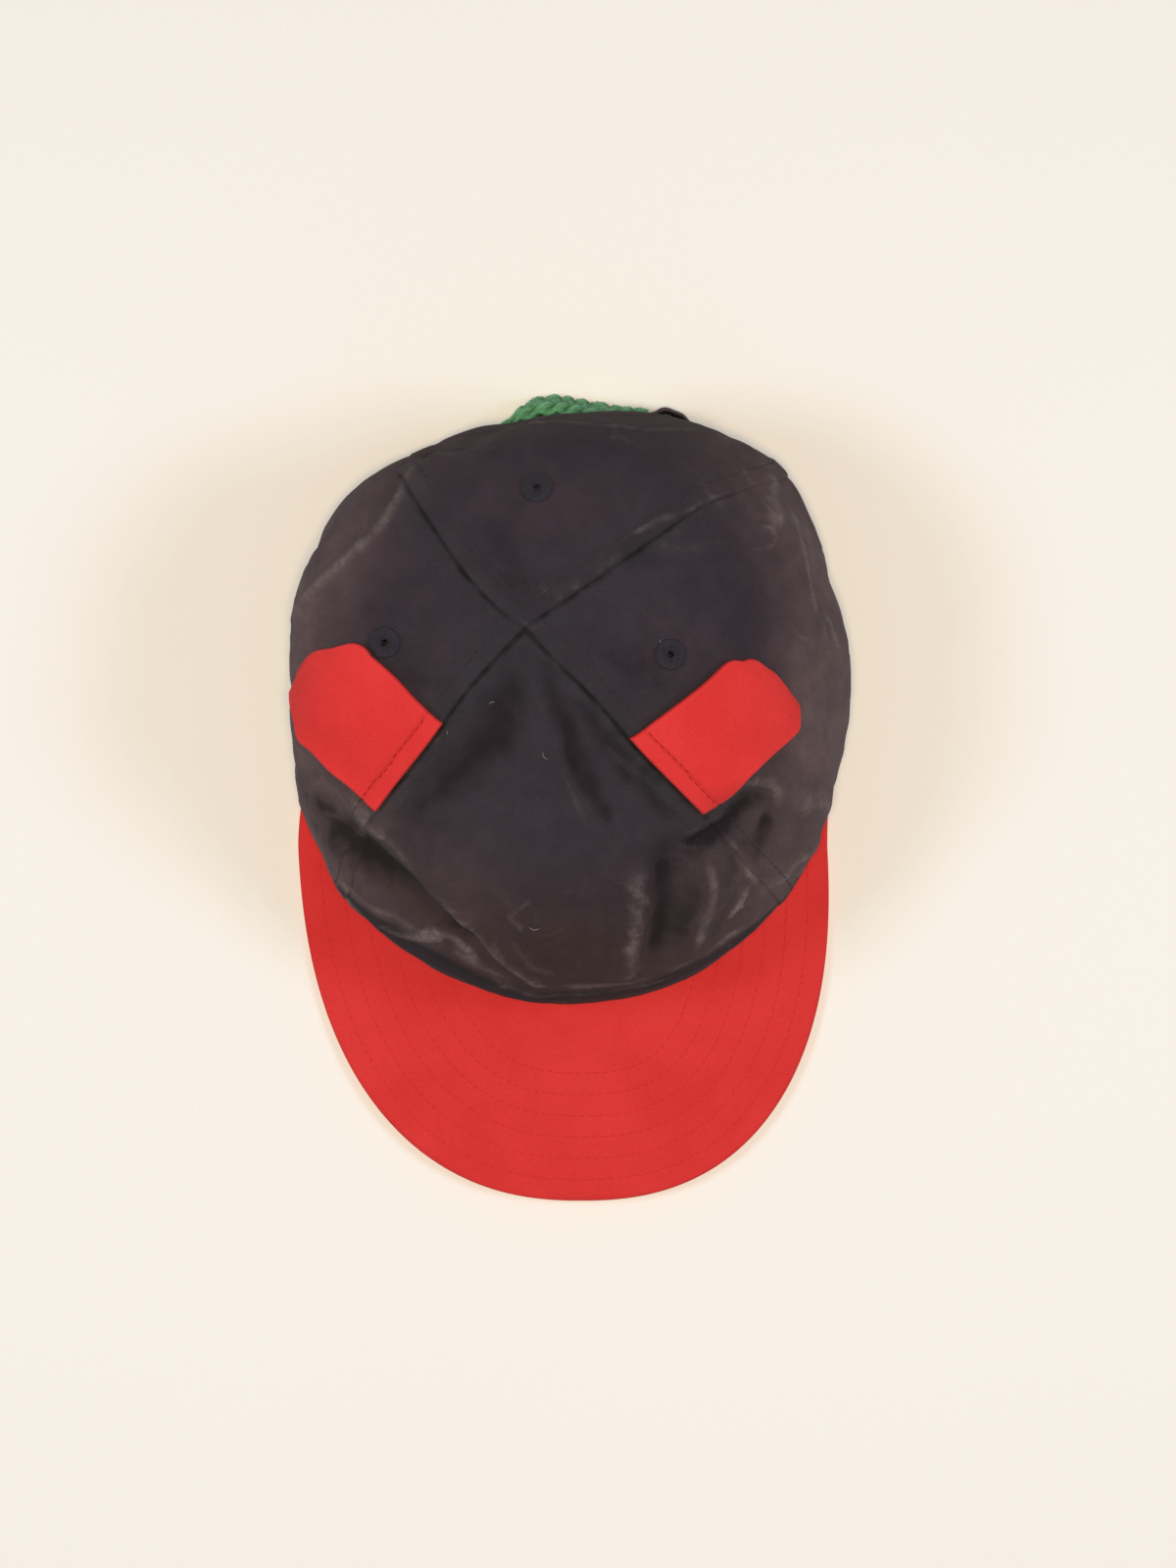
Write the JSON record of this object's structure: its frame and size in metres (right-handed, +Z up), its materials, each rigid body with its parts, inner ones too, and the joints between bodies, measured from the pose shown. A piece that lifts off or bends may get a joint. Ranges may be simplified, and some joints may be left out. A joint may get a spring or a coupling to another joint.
{
  "type": "child's peaked cap",
  "caption": "Soft panelled child's cap with a flat stitched peak, ear-shaped flaps in the front seams and a gathered strap across the back opening; worn on the head.",
  "frame": {"origin": "on the surface the cap stands on, under the middle of the whole cap's box", "axes": "+Z up, -Y towards the tip of the peak, +X to the right seen from above with the peak at the bottom"},
  "size_m": [0.1724, 0.2546, 0.0904],
  "materials": {
    "navy_cotton": "washed cotton twill, matte, faded on its folds",
    "red_cotton": "plain woven cotton, matte",
    "navy_thread": "embroidery thread, slight sheen",
    "green_band": "gathered towelling knit, matte",
    "strap_cloth": "folded cotton tape, matte"
  },
  "bodies": {
    "root": {"front_panel": "navy_cotton", "right_panel": "navy_cotton", "back_panel": "navy_cotton", "left_panel": "navy_cotton", "peak": "red_cotton", "left_ear": "red_cotton", "right_ear": "red_cotton", "left_eyelet": "navy_thread", "right_eyelet": "navy_thread", "back_eyelet": "navy_thread", "back_band": "green_band", "strap_tab": "strap_cloth"}
  },
  "joints": []
}
